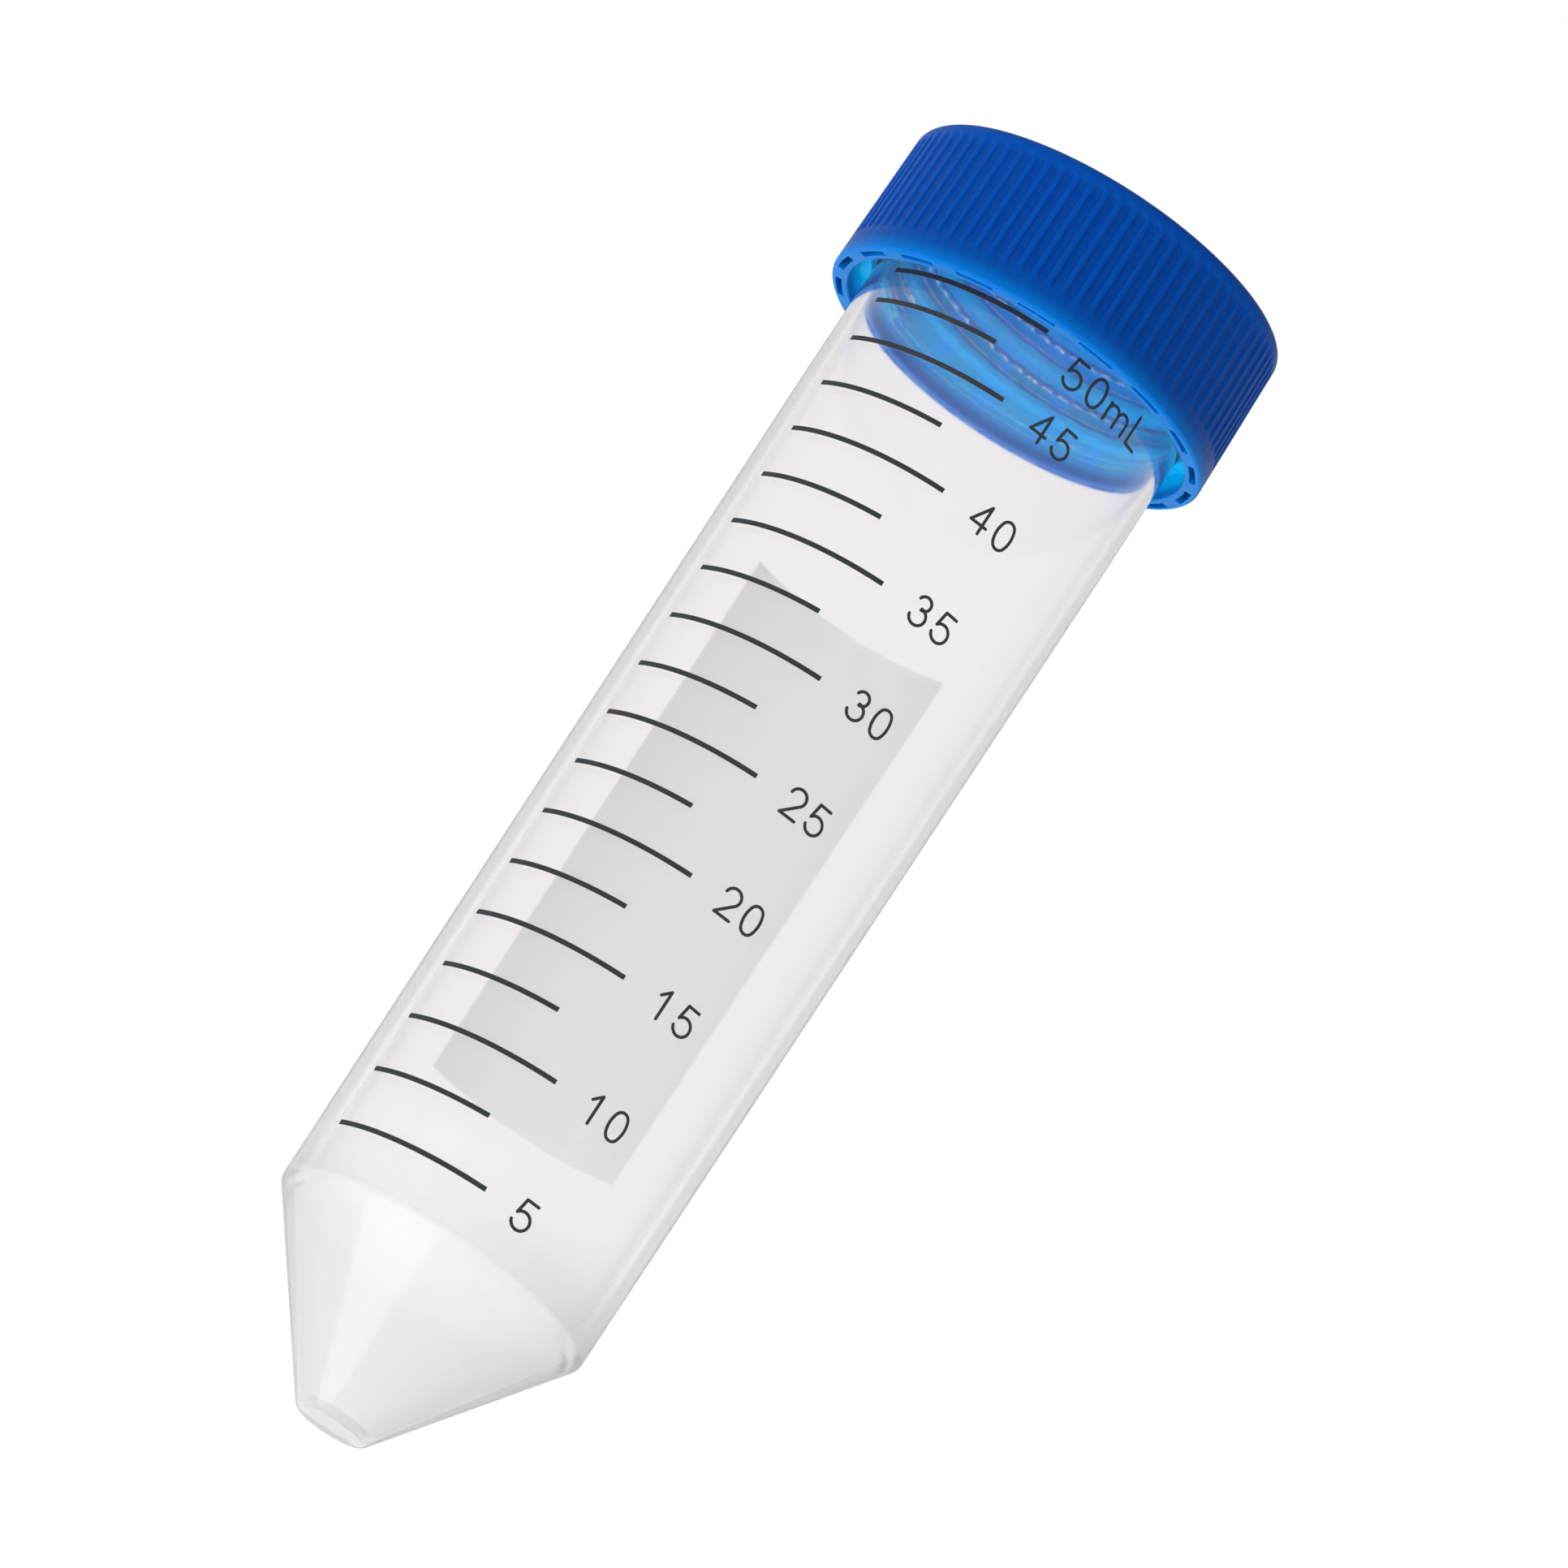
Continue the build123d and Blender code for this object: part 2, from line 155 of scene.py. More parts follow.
PANEL_EDGE = 0.4             # cosine, within a panel's pitch, at which full brightness is reached


# ---- outlines ---------------------------------------------------------------------------------
def rounded(corners):
    """(radius, height) points along an outline whose corners (radius, height, rounding) are made round."""
    points = [corners[0][:2]]
    for before, corner, after in zip(corners, corners[1:], corners[2:]):
        here = Vector(corner[:2])
        back = (Vector(before[:2]) - here).normalized()
        on = (Vector(after[:2]) - here).normalized()
        rounding = corner[2]
        if rounding == 0:
            points.append(corner[:2])
            continue
        half = back.angle(on) / 2
        start = here + back * rounding / math.tan(half)
        centre = here + (back + on).normalized() * rounding / math.sin(half)
        spoke = start - centre
        turn = math.pi - 2 * half
        if back.x * on.y - back.y * on.x > 0:
            turn = -turn
        for step in range(ARC_STEPS + 1):
            angle = turn * step / ARC_STEPS
            cos, sin = math.cos(angle), math.sin(angle)
            r = centre.x + spoke.x * cos - spoke.y * sin
            z = centre.y + spoke.x * sin + spoke.y * cos
            points.append((r, z))
    points.append(corners[-1][:2])
    return points


def divided(points):
    """The same outline with its long straight stretches divided evenly."""
    result = [points[0]]
    for (r0, z0), (r1, z1) in zip(points, points[1:]):
        parts = max(1, math.ceil(math.hypot(r1 - r0, z1 - z0) / LONG_ROW))
        result += [(r0 + (r1 - r0) * i / parts, z0 + (z1 - z0) * i / parts) for i in range(1, parts + 1)]
    return result


def heights(low, high, step):
    """Evenly spaced heights from low to high, both included."""
    count = math.ceil(abs(high - low) / step)
    return [low + (high - low) * i / count for i in range(count + 1)]


def smooth(x):
    """0 below 0, 1 above 1, and a smooth rise between."""
    x = min(max(x, 0.0), 1.0)
    return x * x * (3 - 2 * x)


def ridge_share(azimuth, z, first_z):
    """How far a thread ridge stands out at a place, from 0 at its wall to 1 at its crest."""
    share = 0.0
    for start in range(THREAD_STARTS):
        turn = ((azimuth - THREAD_AZIMUTH) / 360 - start / THREAD_STARTS) % 1.0
        while turn <= THREAD_TURNS:
            away = abs(z - first_z - THREAD_LEAD * turn)
            flank = 1 - smooth((away - THREAD_CREST_HALF) / (THREAD_BASE_HALF - THREAD_CREST_HALF))
            ends = smooth(turn / THREAD_TAPER) * smooth((THREAD_TURNS - turn) / THREAD_TAPER)
            share = max(share, flank * ends)
            turn += 1.0
    return share


# ---- meshes -----------------------------------------------------------------------------------
def place(r, azimuth, z):
    """A point in metres from a radius, an azimuth and a height."""
    a = math.radians(azimuth)
    return (r * math.sin(a) * MM, -r * math.cos(a) * MM, z * MM)


def turned(name, rows, azimuths, body, replaced, material, holes=None):
    """A closed surface turned about the axis. A row is (radius, height), with the radius a number or a
    function of the azimuth. A radius of 0 is a single point. holes gives the row after which a strip has
    openings, a test that tells where they are, and a function that builds the walls behind them."""
    mesh = bmesh.new()
    grid = []
    for r, z in rows:
        if r == 0:
            grid.append([mesh.verts.new(place(0, 0, z))] * len(azimuths))
        else:
            radii = [r(a) if callable(r) else r for a in azimuths]
            grid.append([mesh.verts.new(place(radius, a, z)) for radius, a in zip(radii, azimuths)])
    for i, (row, following) in enumerate(zip(grid, grid[1:])):
        for j in range(len(azimuths)):
            k = (j + 1) % len(azimuths)
            if holes and i == holes["row"] and holes["open"](azimuths[j], azimuths[k]):
                continue
            corners = [row[j], following[j], following[k], row[k]]
            mesh.faces.new(list(dict.fromkeys(corners)))
    if holes:
        holes["walls"](mesh, grid[holes["row"]], grid[holes["row"] + 1], azimuths)
    bmesh.ops.recalc_face_normals(mesh, faces=mesh.faces)
    data = bpy.data.meshes.new(name)
    mesh.to_mesh(data)
    mesh.free()
    data.shade_smooth()
    data.set_sharp_from_angle(angle=SHARP_ANGLE)
    data.materials.append(material)
    piece = bpy.data.objects.new(name, data)
    bpy.context.scene.collection.objects.link(piece)
    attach(piece, body)
    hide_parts(replaced)
    return piece


def tube_rows():
    """From the middle of the tip, out, up the outside, over the lip and down the bore."""
    cone_slope = math.tan(math.radians(CONE_HALF_ANGLE))
    shoulder_z = (SHOULDER_R - TIP_R) / cone_slope
    inner_shift = CONE_WALL / math.cos(math.radians(CONE_HALF_ANGLE))
    floor_r = TIP_R + cone_slope * TIP_FLOOR - inner_shift
    bore_z = (BORE_R_LOW - TIP_R + inner_shift) / cone_slope
    bead_z = NECK_Z + NECK_BEAD_LOW
    thread_low = bead_z + 2 * NECK_BEAD_HALF
    outside = rounded([
        (0, 0, 0),
        (TIP_R, 0, TIP_ROUND),
        (SHOULDER_R, shoulder_z, SHOULDER_ROUND),
        (COLLAR_R, COLLAR_Z, 0),
        (COLLAR_R, NECK_Z, COLLAR_STEP_ROUND),
        (NECK_R, NECK_Z, 0),
        (NECK_R, bead_z, 0),
        (NECK_BEAD_R, bead_z + NECK_BEAD_HALF, 0),
        (NECK_R, thread_low, 0),
    ])
    lip = rounded([
        (NECK_R, TUBE_LENGTH - 2 * LIP_ROUND, 0),
        (NECK_R, TUBE_LENGTH, LIP_ROUND),
        (BORE_R_TOP, TUBE_LENGTH, LIP_ROUND),
        (BORE_R_LOW, bore_z, INNER_SHOULDER_ROUND),
        (floor_r, TIP_FLOOR, INNER_FLOOR_ROUND),
        (0, TIP_FLOOR, 0),
    ])
    thread = []
    for z in heights(thread_low, TUBE_LENGTH - 2 * LIP_ROUND, NECK_ROW)[1:-1]:
        reach = MALE_CREST_R - NECK_R
        thread.append((lambda a, z=z: NECK_R + reach * ridge_share(a, z, MALE_Z), z))
    return divided(outside) + thread + divided(lip)


def groove_share(azimuth, z):
    """How deep the skirt's grooves are at a place, from 0 on a rib to 1 on a groove's floor."""
    pitch = 360 / RIB_COUNT
    aside = (azimuth + pitch / 2) % pitch - pitch / 2
    across = math.radians(aside) * CAP_RIM_R
    beyond = max(0.0, GROOVE_START_Z + GROOVE_HALF - z, z - GROOVE_END_Z + GROOVE_HALF)
    inside = GROOVE_HALF - math.hypot(across, beyond)
    return smooth(inside / GROOVE_WALL)


def skirt_radius(z, azimuth=None):
    """The skirt's outer radius on a rib, or at an azimuth with the grooves cut in."""
    radius = CAP_RIM_R - CAP_SLOPE * (z - CAP_RIM_Z)
    if azimuth is None:
        return radius
    return radius - GROOVE_DEPTH * groove_share(azimuth, z)


def cap_rows():
    """From the middle of the top, out, down the skirt, across the rim and up inside."""
    top_r = skirt_radius(CAP_TOP_Z)
    top = rounded([
        (0, CAP_TOP_Z - GATE_DEPTH, 0),
        (GATE_R - GATE_DEPTH, CAP_TOP_Z - GATE_DEPTH, 0),
        (GATE_R, CAP_TOP_Z, 0),
        (top_r - 2 * CAP_TOP_ROUND, CAP_TOP_Z, 0),
    ])
    edge = rounded([
        (top_r - 2 * CAP_TOP_ROUND, CAP_TOP_Z, 0),
        (top_r, CAP_TOP_Z, CAP_TOP_ROUND),
        (skirt_radius(GROOVE_END_Z), GROOVE_END_Z, 0),
    ])[1:-1]
    middle_z = (GROOVE_START_Z + GROOVE_END_Z) / 2
    skirt_heights = heights(GROOVE_END_Z, GROOVE_END_Z - GROOVE_HALF, GROOVE_ROW) + [middle_z]
    skirt_heights += heights(GROOVE_START_Z + GROOVE_HALF, GROOVE_START_Z, GROOVE_ROW)
    groove_rows = edge + [(lambda a, z=z: skirt_radius(z, a), z) for z in skirt_heights]
    rim = rounded([
        (skirt_radius(GROOVE_START_Z), GROOVE_START_Z, 0),
        (CAP_RIM_R, CAP_RIM_Z, CAP_RIM_ROUND),
        (POCKET_R[1], CAP_RIM_Z, 0),
        (POCKET_R[0], CAP_RIM_Z, 0),
        (SKIRT_BORE_R, CAP_RIM_Z, SKIRT_BORE_ROUND),
        (SKIRT_BORE_R, CAP_RIM_Z + 2 * SKIRT_BORE_ROUND, 0),
    ])[1:]
    thread = []
    for z in heights(CAP_RIM_Z + 2 * SKIRT_BORE_ROUND, THROAT_Z, THREAD_ROW)[1:-1]:
        reach = SKIRT_BORE_R - FEMALE_CREST_R
        thread.append((lambda a, z=z: SKIRT_BORE_R - reach * ridge_share(a, z, FEMALE_Z), z))
    inside = rounded([
        (SKIRT_BORE_R, THROAT_Z, 0),
        (THROAT_R, THROAT_Z + THROAT_CONE, 0),
        (THROAT_R, PLATE_Z, 0),
        (PLUG_R, PLATE_Z, 0),
        (PLUG_R, PLATE_Z - PLUG_DEPTH, PLUG_ROUNDS[1]),
        (PLUG_R - PLUG_WALL, PLATE_Z - PLUG_DEPTH, PLUG_ROUNDS[0]),
        (PLUG_R - PLUG_WALL, PLATE_Z, 0),
        (0, PLATE_Z, 0),
    ])
    return divided(top) + groove_rows + rim + thread + divided(inside)


def pocket_span(azimuth):
    """The pocket that an azimuth lies in, or None."""
    pitch = 360 / POCKET_COUNT
    aside = (azimuth - POCKET_AZIMUTH + pitch / 2) % pitch - pitch / 2
    if abs(aside) < POCKET_ARC / 2:
        return round((azimuth - aside - POCKET_AZIMUTH) / pitch) % POCKET_COUNT
    return None


def pocket_open(azimuth, following):
    """True if the column between two azimuths is in a pocket."""
    if following < azimuth:
        following += 360
    return pocket_span((azimuth + following) / 2) is not None


def pocket_walls(mesh, outer, inner, azimuths):
    """The side walls and closed end of each pocket, up from the opening left in the rim."""
    end_z = CAP_RIM_Z + POCKET_DEPTH
    count = len(azimuths)
    columns = {}

    def column(j):
        if j not in columns:
            ends = [mesh.verts.new(place(r, azimuths[j], end_z)) for r in reversed(POCKET_END_R)]
            columns[j] = [outer[j], *ends, inner[j]]
        return columns[j]

    for j in range(count):
        k = (j + 1) % count
        if pocket_open(azimuths[j], azimuths[k]):
            here, there = column(j), column(k)
            for low, high in ((0, 1), (1, 2), (2, 3)):
                mesh.faces.new([here[low], here[high], there[high], there[low]])
    for j, corners in columns.items():
        before = pocket_open(azimuths[j - 1], azimuths[j])
        after = pocket_open(azimuths[j], azimuths[(j + 1) % count])
        if before != after:
            mesh.faces.new(corners)


def cap_azimuths():
    """Columns that fall on the groove walls and on the pocket ends."""
    pitch = 360 / RIB_COUNT
    half = math.degrees(GROOVE_HALF / CAP_RIM_R)
    wall = math.degrees(GROOVE_WALL / CAP_RIM_R)
    steps = [half, half - wall / 3, half - 2 * wall / 3, half - wall]
    offsets = [-s for s in steps] + [0.0] + [*reversed(steps), pitch / 2]
    found = {round((pitch * i + s) % 360, 4) for i in range(RIB_COUNT) for s in offsets}
    for i in range(POCKET_COUNT):
        middle = POCKET_AZIMUTH + i * 360 / POCKET_COUNT
        for side in (-1, 1):
            found.add(round((middle + side * POCKET_ARC / 2) % 360, 4))
    return sorted(found)


def make_tube(material):
    """The tube's wall, at a higher resolution than the CAD mesh that it replaces."""
    azimuths = [360 * i / TUBE_COLUMNS for i in range(TUBE_COLUMNS)]
    return turned("tube_wall", tube_rows(), azimuths, "tube", "tube_body", material)


def make_cap(material):
    """The cap with its pockets, at a higher resolution than the CAD mesh that it replaces."""
    rows = cap_rows()
    pocket_row = next(i for i, (r, z) in enumerate(rows) if r == POCKET_R[1])
    holes = {"row": pocket_row, "open": pocket_open, "walls": pocket_walls}
    azimuths = cap_azimuths()
    return turned("cap_shell", rows, azimuths, "cap", "screw_cap", material, holes)


# ---- materials --------------------------------------------------------------------------------
def adder(tree):
    """A helper that adds a node to a tree, with given settings and socket values."""
    def add(kind, settings=None, **values):
        node = tree.nodes.new("ShaderNode" + kind)
        for key, value in (settings or {}).items():
            setattr(node, key, value)
        for key, value in values.items():
            node.inputs[key.replace("_", " ")].default_value = value
        return node

    return add


def new_material(name):
    """A node material, its tree and shader, and the helper that adds nodes to it."""
    material = bpy.data.materials.new(name)
    material.use_nodes = True
    tree = material.node_tree
    return material, tree, tree.nodes["Principled BSDF"], adder(tree)


def surface_noise(tree, add, per_metre):
    """Noise over the object's own coordinates, with so many cycles per metre."""
    noise = add("TexNoise", Scale=per_metre, Detail=NOISE_DETAIL)
    tree.links.new(add("TexCoord").outputs["Object"], noise.inputs["Vector"])
    return noise.outputs["Fac"]


def ranged(tree, add, source, low, high):
    """A value that follows source between low and high."""
    mapping = add("MapRange", To_Min=low, To_Max=high)
    tree.links.new(source, mapping.inputs["Value"])
    return mapping.outputs["Result"]


def own_place(tree, add):
    """The place on the part in metres, as its X, Y and Z outputs."""
    split = add("SeparateXYZ")
    tree.links.new(add("TexCoord").outputs["Object"], split.inputs["Vector"])
    return split.outputs


def own_radius(tree, add):
    """The distance from the part's axis and the height, both in metres."""
    x, y, z = own_place(tree, add)
    x_square = combine(tree, add, x, x, "MULTIPLY")
    y_square = combine(tree, add, y, y, "MULTIPLY")
    return combine(tree, add, combine(tree, add, x_square, y_square, "ADD"), 0.5, "POWER"), z


def stepped(tree, add, source, low, high):
    """0 where source is under low, 1 where it is over high, and a smooth rise between."""
    step = add("MapRange", {"interpolation_type": "SMOOTHSTEP"}, From_Min=low, From_Max=high)
    tree.links.new(source, step.inputs["Value"])
    return step.outputs["Result"]


def height_share(tree, add, band):
    """0 under a band of heights in millimetres, 1 above it."""
    return stepped(tree, add, own_place(tree, add)["Z"], band[0] * MM, band[1] * MM)


def combine(tree, add, first, second, operation):
    """The result of an operation on two numbers. The second may be a plain float."""
    node = add("Math", {"operation": operation})
    tree.links.new(first, node.inputs[0])
    if isinstance(second, float):
        node.inputs[1].default_value = second
    else:
        tree.links.new(second, node.inputs[1])
    return node.outputs[0]


def painted_groove_shade(tree, add):
    """1 on the floors of the skirt's grooves, which take a darker colour as painted shade, 0 on the ribs,
    whose crests keep a paler colour as a painted highlight, and everywhere else on the cap.
    """
    r, z = own_radius(tree, add)
    rib_at_zero = (CAP_RIM_R + CAP_SLOPE * CAP_RIM_Z) * MM
    leaned = combine(tree, add, r, combine(tree, add, z, CAP_SLOPE, "MULTIPLY"), "ADD")
    # The crests keep the paler rib colour as a painted highlight, and the groove floors below them take
    # painted shade.
    on_rib = stepped(tree, add, leaned, rib_at_zero - CREST_HIGHLIGHT_DEPTH * MM, rib_at_zero)
    outer = stepped(tree, add, leaned, rib_at_zero - SKIN_DEPTH[1] * MM, rib_at_zero - SKIN_DEPTH[0] * MM)
    above = stepped(tree, add, z, GROOVE_START_Z * MM, (GROOVE_START_Z + GROOVE_FADE) * MM)
    below = stepped(tree, add, z, (GROOVE_END_Z - GROOVE_FADE) * MM, GROOVE_END_Z * MM)
    between = combine(tree, add, above, below, "SUBTRACT")
    off_rib = combine(tree, add, outer, on_rib, "SUBTRACT")
    return combine(tree, add, off_rib, between, "MULTIPLY")


def painted_glow_share(tree, add):
    """How much painted glow the cap's colour gets, standing in for light that comes through it: 1 on the
    thin inner skirt, and RIM_GLOW at the rim, fading out up the outer skirt."""
    r, z = own_radius(tree, add)
    within = stepped(tree, add, r, POCKET_R[0] * MM, (SKIRT_BORE_R + PALE_FADE) * MM)
    above_rim = stepped(tree, add, z, CAP_RIM_Z * MM, (CAP_RIM_Z + INNER_PALE_RISE) * MM)
    under_plate = stepped(tree, add, z, (PLATE_Z + 2 * PALE_FADE) * MM, (PLATE_Z + PALE_FADE) * MM)
    near_rim = stepped(tree, add, z, (CAP_RIM_Z + RIM_GLOW_RISE) * MM, CAP_RIM_Z * MM)
    thin = combine(tree, add, within, under_plate, "MULTIPLY")
    inside = combine(tree, add, thin, above_rim, "MULTIPLY")
    by_rim = combine(tree, add, near_rim, RIM_GLOW, "MULTIPLY")
    return combine(tree, add, inside, by_rim, "MAXIMUM")


def blended(tree, add, factor, first, second):
    """A colour between two other colours from nodes, by a factor."""
    mix = add("Mix", {"data_type": "RGBA"})
    for socket, source in (("Factor", factor), ("A", first), ("B", second)):
        tree.links.new(source, mix.inputs[socket])
    return mix.outputs["Result"]


def mixed_colour(tree, add, factor, first, second):
    """A colour between two fixed ones, by a factor."""
    mix = add("Mix", {"data_type": "RGBA"}, A=(*first, 1), B=(*second, 1))
    tree.links.new(factor, mix.inputs["Factor"])
    return mix.outputs["Result"]


def bumped(tree, add, shader, height, strength, distance):
    """Shade a surface as if height, from 0 to 1, raised it by up to distance in metres."""
    bump = add("Bump", Strength=strength, Distance=distance)
    tree.links.new(height, bump.inputs["Height"])
    tree.links.new(bump.outputs["Normal"], shader.inputs["Normal"])


def clear_polypropylene():
    """Natural polypropylene: clear and faintly tinted, with soft flow streaks, and milky in the cone.
    Light passes through it to what is behind, so shadow rays see it as nearly clear."""
    material, tree, shader, add = new_material("clear_polypropylene")
    shader.inputs["IOR"].default_value = 1.30
    shader.inputs["Specular IOR Level"].default_value = 0.4
    streaks = surface_noise(tree, add, per_metre=90.0)
    barrel = mixed_colour(tree, add, streaks, first=(0.950, 0.908, 0.924), second=(0.930, 0.936, 0.933))
    cone = mixed_colour(tree, add, streaks, first=(0.722, 0.739, 0.732), second=(0.737, 0.739, 0.737))
    above_cone = height_share(tree, add, FROST_Z)
    tree.links.new(blended(tree, add, above_cone, cone, barrel), shader.inputs["Base Color"])
    haze = surface_noise(tree, add, per_metre=900.0)
    roughness = ranged(tree, add, haze, low=0.05, high=0.09)
    tree.links.new(roughness, shader.inputs["Roughness"])
    clearness = ranged(tree, add, above_cone, low=0.70, high=0.988)
    tree.links.new(clearness, shader.inputs["Transmission Weight"])
    bumped(tree, add, shader, streaks, strength=0.05, distance=0.0002)
    let_light_through(tree, add, shader, tint=(0.985, 0.985, 0.985))
    return material


def mix_to_surface(tree, add, shader, other):
    """Send a mix of the shader and another to the material's output, and give back the mix."""
    mix = add("MixShader")
    tree.links.new(shader.outputs["BSDF"], mix.inputs[1])
    tree.links.new(other.outputs["BSDF"], mix.inputs[2])
    tree.links.new(mix.outputs["Shader"], tree.nodes["Material Output"].inputs["Surface"])
    return mix


def let_light_through(tree, add, shader, tint):
    """Shadow rays pass straight through, as light does through a thin clear wall."""
    clear = add("BsdfTransparent", Color=(*tint, 1))
    mix = mix_to_surface(tree, add, shader, clear)
    tree.links.new(add("LightPath").outputs["Is Shadow Ray"], mix.inputs["Fac"])


def blue_polyethylene():
    """Pigmented polyethylene: even blue, satin, with the faint grain of a spark-eroded mould. Over that
    even blue its colour carries painted light: painted shade in the grooves, a painted highlight on the rib
    crests, and a painted glow on the inside and the rim.
    """
    material, tree, shader, add = new_material("blue_polyethylene")
    shader.inputs["IOR"].default_value = 1.52
    shader.inputs["Specular IOR Level"].default_value = 0.07
    shader.inputs["Subsurface Weight"].default_value = 0.8
    shader.inputs["Subsurface Radius"].default_value = (0.05, 0.35, 1.0)
    shader.inputs["Subsurface Scale"].default_value = 0.0012
    clouds = surface_noise(tree, add, per_metre=260.0)
    # Painted light: the paler rib colour on the crests is a painted highlight, and the darker groove colour
    # is painted shade.
    rib = mixed_colour(tree, add, clouds, first=(0.0, 0.060, 0.325), second=(0.0, 0.065, 0.350))
    shaded_groove = mixed_colour(tree, add, clouds, first=(0.0, 0.048, 0.290), second=(0.0, 0.052, 0.312))
    # The pale inner colour is a painted glow, standing in for light that comes through the thin inner skirt
    # and lights the rim.
    inner = mixed_colour(tree, add, clouds, first=(0.0, 0.44, 0.98), second=(0.0, 0.47, 1.0))
    outside = blended(tree, add, painted_groove_shade(tree, add), rib, shaded_groove)
    colour = blended(tree, add, painted_glow_share(tree, add), outside, inner)
    tree.links.new(colour, shader.inputs["Base Color"])
    grain = surface_noise(tree, add, per_metre=5200.0)
    roughness = ranged(tree, add, grain, low=0.30, high=0.42)
    tree.links.new(roughness, shader.inputs["Roughness"])
    bumped(tree, add, shader, grain, strength=0.08, distance=0.00005)
    return material


def black_ink():
    """Screen-printed ink: near black, thin, slightly uneven."""
    material, tree, shader, add = new_material("black_ink")
    speckle = surface_noise(tree, add, per_metre=3800.0)
    colour = mixed_colour(tree, add, speckle, first=(0.010, 0.013, 0.016), second=(0.020, 0.024, 0.029))
    tree.links.new(colour, shader.inputs["Base Color"])
    roughness = ranged(tree, add, speckle, low=0.38, high=0.55)
    tree.links.new(roughness, shader.inputs["Roughness"])
    bumped(tree, add, shader, speckle, strength=0.15, distance=0.00002)
    return material


def patch_print():
    """The writing patch: matt white print with a fine tooth for a pencil, which lets most light through."""
    material, tree, shader, add = new_material("patch_print")
    tooth = surface_noise(tree, add, per_metre=6000.0)
    colour = mixed_colour(tree, add, tooth, first=(0.84, 0.85, 0.85), second=(0.88, 0.89, 0.89))
    tree.links.new(colour, shader.inputs["Base Color"])
    roughness = ranged(tree, add, tooth, low=0.65, high=0.85)
    tree.links.new(roughness, shader.inputs["Roughness"])
    bumped(tree, add, shader, tooth, strength=0.25, distance=0.00003)
    glow = add("BsdfTranslucent")
    tree.links.new(colour, glow.inputs["Color"])
    mix_to_surface(tree, add, shader, glow).inputs["Fac"].default_value = PATCH_GLOW
    return material


def soft_seal():
    """The seal ring: soft off-white elastomer, matt and faintly mottled."""
    material, tree, shader, add = new_material("soft_seal")
    mottle = surface_noise(tree, add, per_metre=1500.0)
    colour = mixed_colour(tree, add, mottle, first=(0.70, 0.71, 0.70), second=(0.78, 0.79, 0.78))
    tree.links.new(colour, shader.inputs["Base Color"])
    roughness = ranged(tree, add, mottle, low=0.45, high=0.6)
    tree.links.new(roughness, shader.inputs["Roughness"])
    bumped(tree, add, shader, mottle, strength=0.1, distance=0.00003)
    return material


def dress(node, material):
    """Give a CAD node its material."""
    data = nodes[node].data
    data.materials.clear()
    data.materials.append(material)


def dress_nodes():
    """Ink on the scale, print on the patch and elastomer on the seal ring."""
    ink = black_ink()
    for node in nodes:
        if node.startswith("scale_"):
            dress(node, ink)
    dress("writing_patch", patch_print())
    dress("seal_ring", soft_seal())


# ---- stage ------------------------------------------------------------------------------------
def make_floor():
    """A plain pale floor well below the part, which hangs free as if held by its rim."""
    mesh = bmesh.new()
    corners = [(-1, -1), (1, -1), (1, 1), (-1, 1)]
    mesh.faces.new([mesh.verts.new((x * FLOOR_HALF, y * FLOOR_HALF, FLOOR_Z)) for x, y in corners])
    data = bpy.data.meshes.new("floor")
    mesh.to_mesh(data)
    mesh.free()
    material, tree, shader, add = new_material("floor_paint")
    mottle = surface_noise(tree, add, per_metre=3.0)
    colour = mixed_colour(tree, add, mottle, first=(0.90, 0.90, 0.90), second=(0.93, 0.93, 0.93))
    tree.links.new(colour, shader.inputs["Base Color"])
    shader.inputs["Roughness"].default_value = 0.9
    tree.links.new(colour, shader.inputs["Emission Color"])
    shader.inputs["Emission Strength"].default_value = FLOOR_GLOW
    data.materials.append(material)
    floor = bpy.data.objects.new("floor", data)
    bpy.context.scene.collection.objects.link(floor)


def panel_light(tree, add, brightest):
    """The surround's brightness by compass direction: white panels with dimmer gaps between them, which
    draw a thin dark line down each side of the clear tube."""
    split = add("SeparateXYZ")
    tree.links.new(add("TexCoord").outputs["Generated"], split.inputs["Vector"])
    compass = combine(tree, add, split.outputs["X"], split.outputs["Y"], "ARCTAN2")
    wave = add("Math", {"operation": "COSINE"})
    tree.links.new(combine(tree, add, compass, float(PANELS), "MULTIPLY"), wave.inputs[0])
    spread = add("MapRange", {"interpolation_type": "SMOOTHSTEP"}, From_Min=-1.0, From_Max=PANEL_EDGE,
                 To_Min=PANEL_GAP, To_Max=brightest)
    tree.links.new(wave.outputs[0], spread.inputs["Value"])
    return spread.outputs["Result"]


def make_world():
    """White studio surround. It is white behind the part, seen as panels through it, dimmer where it is
    reflected, and dim as ambient light, so that the lamps shape the part."""
    world = bpy.data.worlds.new("studio")
    bpy.context.scene.world = world
    world.use_nodes = True
    tree = world.node_tree
    add = adder(tree)
    path = add("LightPath")
    level = None
    for ray, strength in SURROUND.items():
        mix = add("Mix", A=AMBIENT, B=strength)
        if ray == "Is Transmission Ray":
            tree.links.new(panel_light(tree, add, strength), mix.inputs["B"])
        tree.links.new(path.outputs[ray], mix.inputs["Factor"])
        if level is not None:
            tree.links.new(level, mix.inputs["A"])
        level = mix.outputs["Result"]
    background = tree.nodes["Background"]
    background.inputs["Color"].default_value = (1, 1, 1, 1)
    tree.links.new(level, background.inputs["Strength"])


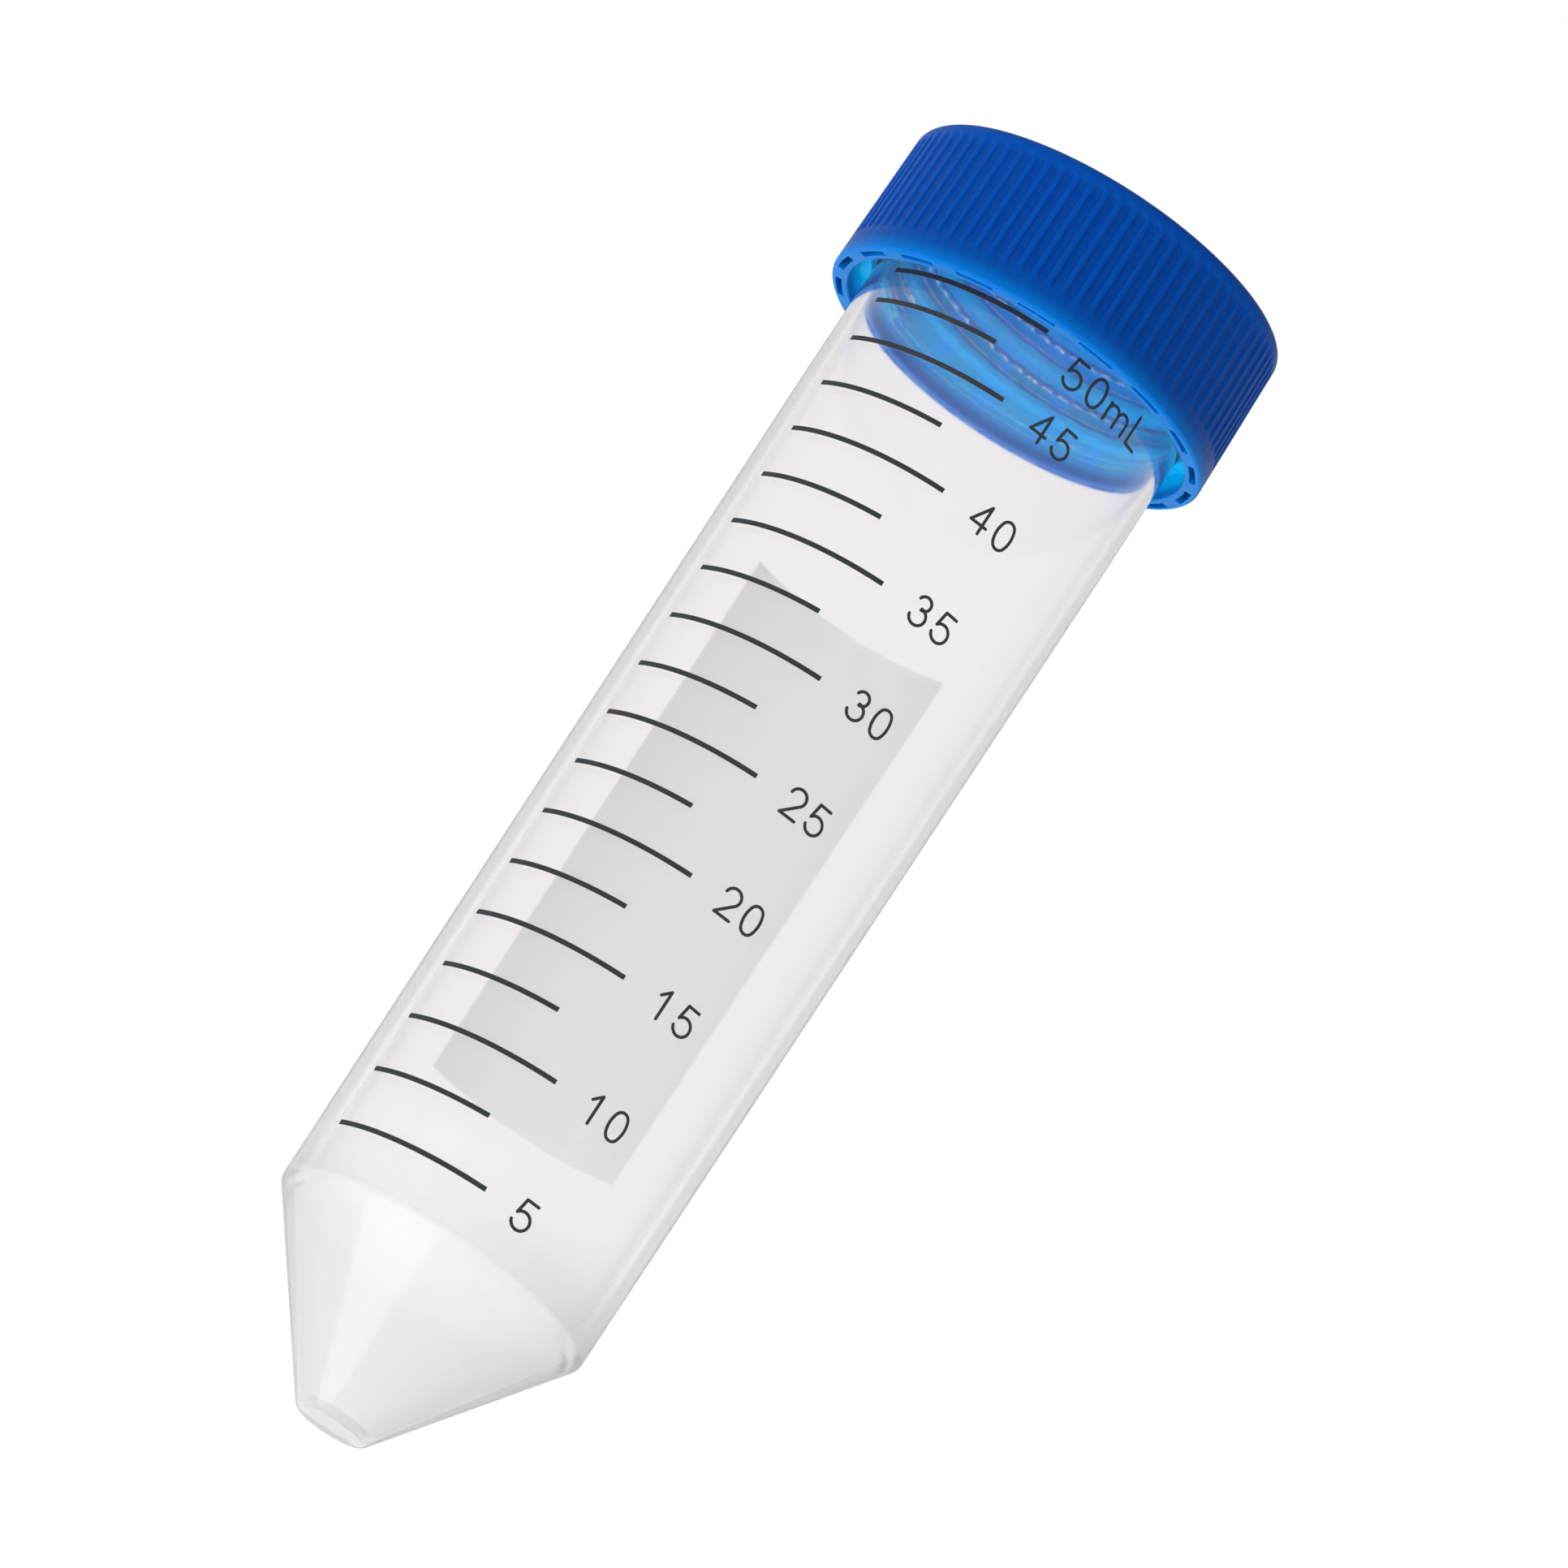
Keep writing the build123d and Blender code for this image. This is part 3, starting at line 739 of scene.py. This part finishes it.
def area_light(name, at, size, watts, reflected=False):
    """A rectangular lamp aimed at the middle of the part. Only a reflected one is seen in glossy surfaces
    and through clear ones."""
    data = bpy.data.lights.new(name, "AREA")
    data.shape = "RECTANGLE"
    data.size, data.size_y = size
    data.energy = watts
    light = bpy.data.objects.new(name, data)
    light.location = at
    direction = Vector(LAMP_AIM) - Vector(at)
    light.rotation_euler = direction.to_track_quat("-Z", "Y").to_euler()
    light.visible_camera = False
    light.visible_glossy = reflected
    light.visible_transmission = reflected
    bpy.context.scene.collection.objects.link(light)


def make_lights():
    """Soft lamps: key from the upper left, weak fill, two low ones for the cone and the cap's inside, and
    one behind for the patch."""
    area_light("key", at=(-1.1, -0.5, 0.6), size=(0.8, 0.8), watts=5.5)
    area_light("fill", at=(0.9, -0.9, 0.1), size=(0.8, 0.8), watts=0.5)
    area_light("low_left", at=(-0.42, -0.38, -0.76), size=(0.8, 0.25), watts=1.8, reflected=True)
    area_light("low_front", at=(-0.25, -1.0, -0.55), size=(0.8, 0.8), watts=9.2)
    area_light("back", at=(-0.1, 1.2, 0.1), size=(1.0, 1.0), watts=21.0)


def make_camera():
    """The photograph's camera: in front of the part, a little below it, and rolled."""
    data = bpy.data.cameras.new("camera")
    data.lens = CAMERA_LENS
    data.sensor_width = CAMERA_SENSOR
    data.clip_start, data.clip_end = CAMERA_CLIP
    camera = bpy.data.objects.new("camera", data)
    elevation = math.radians(CAMERA_ELEVATION)
    height = CAMERA_PIVOT_Z + CAMERA_DISTANCE * math.sin(elevation)
    camera.location = (0, -CAMERA_DISTANCE * math.cos(elevation), height)
    look = (Vector(CAMERA_AIM) - camera.location).to_track_quat("-Z", "Y").to_matrix()
    roll = Matrix.Rotation(math.radians(CAMERA_ROLL), 3, "Z")
    camera.rotation_euler = (look @ roll).to_euler()
    bpy.context.scene.collection.objects.link(camera)
    bpy.context.scene.camera = camera


make_camera()
make_world()
make_lights()
make_floor()
make_tube(clear_polypropylene())
make_cap(blue_polyethylene())
dress_nodes()
bpy.context.scene.view_settings.view_transform = "Standard"
